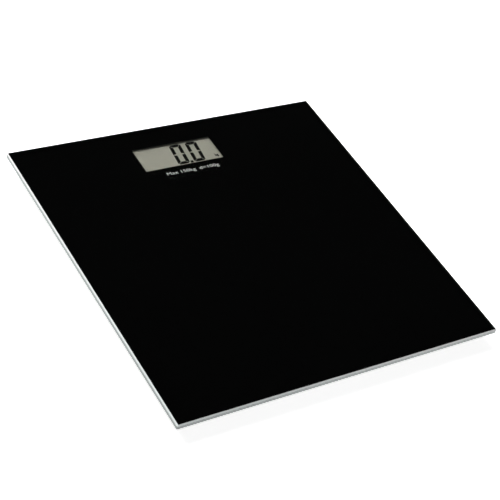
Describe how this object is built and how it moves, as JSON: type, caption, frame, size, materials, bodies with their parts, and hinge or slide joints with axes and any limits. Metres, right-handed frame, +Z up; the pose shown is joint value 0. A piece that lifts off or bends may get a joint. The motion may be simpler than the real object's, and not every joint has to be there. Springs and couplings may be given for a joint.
{
  "type": "digital bathroom scale",
  "caption": "Slim bathroom scale: a square glass platform printed black, an LCD behind a clear window near one edge, and load-cell feet in round cups under the corners.",
  "frame": {"origin": "on the floor, under the middle of the platform", "axes": "+Z up, +X to the right and +Y towards the display edge, as seen by the person standing on it"},
  "size_m": [0.3, 0.3, 0.022],
  "materials": {
    "float_glass": "clear tempered soda-lime glass, green at its ground edges",
    "black_ink": "opaque black screen print, bonded to the glass",
    "black_foam": "closed-cell adhesive foam",
    "black_plastic": "fine spark-eroded ABS",
    "lcd_glass": "reflective liquid crystal panel, grey-green",
    "white_plastic": "natural ABS",
    "zebra_rubber": "silicone with carbon layers",
    "board_laminate": "green solder mask on glass-epoxy",
    "black_resin": "cast epoxy",
    "switch_plastic": "moulded nylon with a steel top",
    "button_rubber": "soft grey silicone",
    "cell_steel": "nickel-plated stainless can",
    "nickel": "nickel-plated spring bronze",
    "zinc_steel": "zinc-plated steel",
    "gauge_steel": "stamped and deburred alloy steel",
    "adhesive": "acrylic foam tape",
    "sole_rubber": "soft non-slip rubber",
    "lead_pvc": "three-core flat PVC lead"
  },
  "bodies": {
    "platform": {"glass_platform": "float_glass", "black_print": "black_ink", "display_gasket": "black_foam", "module_housing": "black_plastic", "module_cover": "black_plastic", "lcd_panel": "lcd_glass", "lcd_holder": "white_plastic", "zebra_strip": "zebra_rubber", "circuit_board": "board_laminate", "chip_resin": "black_resin", "unit_switch": "switch_plastic", "coin_cell": "cell_steel", "contact_positive": "nickel", "contact_negative": "nickel", "cover_screw_front_left": "zinc_steel", "cover_screw_back_left": "zinc_steel", "cover_screw_front_right": "zinc_steel", "cover_screw_back_right": "zinc_steel", "board_screw_front": "zinc_steel", "board_screw_left": "zinc_steel", "board_screw_back": "zinc_steel", "cup_adhesive_front_left": "adhesive", "foot_cup_front_left": "black_plastic", "load_cell_front_left": "gauge_steel", "lead_front_left": "lead_pvc", "wire_cover_front_left": "black_plastic", "cup_adhesive_front_right": "adhesive", "foot_cup_front_right": "black_plastic", "load_cell_front_right": "gauge_steel", "lead_front_right": "lead_pvc", "wire_cover_front_right": "black_plastic", "cup_adhesive_rear_left": "adhesive", "foot_cup_rear_left": "black_plastic", "load_cell_rear_left": "gauge_steel", "lead_rear_left": "lead_pvc", "wire_cover_rear_left": "black_plastic", "cup_adhesive_rear_right": "adhesive", "foot_cup_rear_right": "black_plastic", "load_cell_rear_right": "gauge_steel", "lead_rear_right": "lead_pvc", "wire_cover_rear_right": "black_plastic"},
    "battery_door": {"battery_door": "black_plastic"},
    "unit_button": {"unit_button": "button_rubber"},
    "foot_front_left": {"foot_front_left": "black_plastic", "sole_front_left": "sole_rubber"},
    "foot_front_right": {"foot_front_right": "black_plastic", "sole_front_right": "sole_rubber"},
    "foot_rear_left": {"foot_rear_left": "black_plastic", "sole_rear_left": "sole_rubber"},
    "foot_rear_right": {"foot_rear_right": "black_plastic", "sole_rear_right": "sole_rubber"}
  },
  "joints": [
    {"name": "battery_door_slide", "type": "slide", "parent": "platform", "child": "battery_door", "axis": [0, -1, 0], "range_m": [0, 0.022]},
    {"name": "unit_button_press", "type": "slide", "parent": "platform", "child": "unit_button", "axis": [0, 0, 1], "range_m": [0, 0.0004], "stiffness_N_per_m": 4000},
    {"name": "foot_front_left_press", "type": "slide", "parent": "platform", "child": "foot_front_left", "axis": [0, 0, 1], "range_m": [0, 0.0006], "stiffness_N_per_m": 50000},
    {"name": "foot_front_right_press", "type": "slide", "parent": "platform", "child": "foot_front_right", "axis": [0, 0, 1], "range_m": [0, 0.0006], "stiffness_N_per_m": 50000},
    {"name": "foot_rear_left_press", "type": "slide", "parent": "platform", "child": "foot_rear_left", "axis": [0, 0, 1], "range_m": [0, 0.0006], "stiffness_N_per_m": 50000},
    {"name": "foot_rear_right_press", "type": "slide", "parent": "platform", "child": "foot_rear_right", "axis": [0, 0, 1], "range_m": [0, 0.0006], "stiffness_N_per_m": 50000}
  ]
}
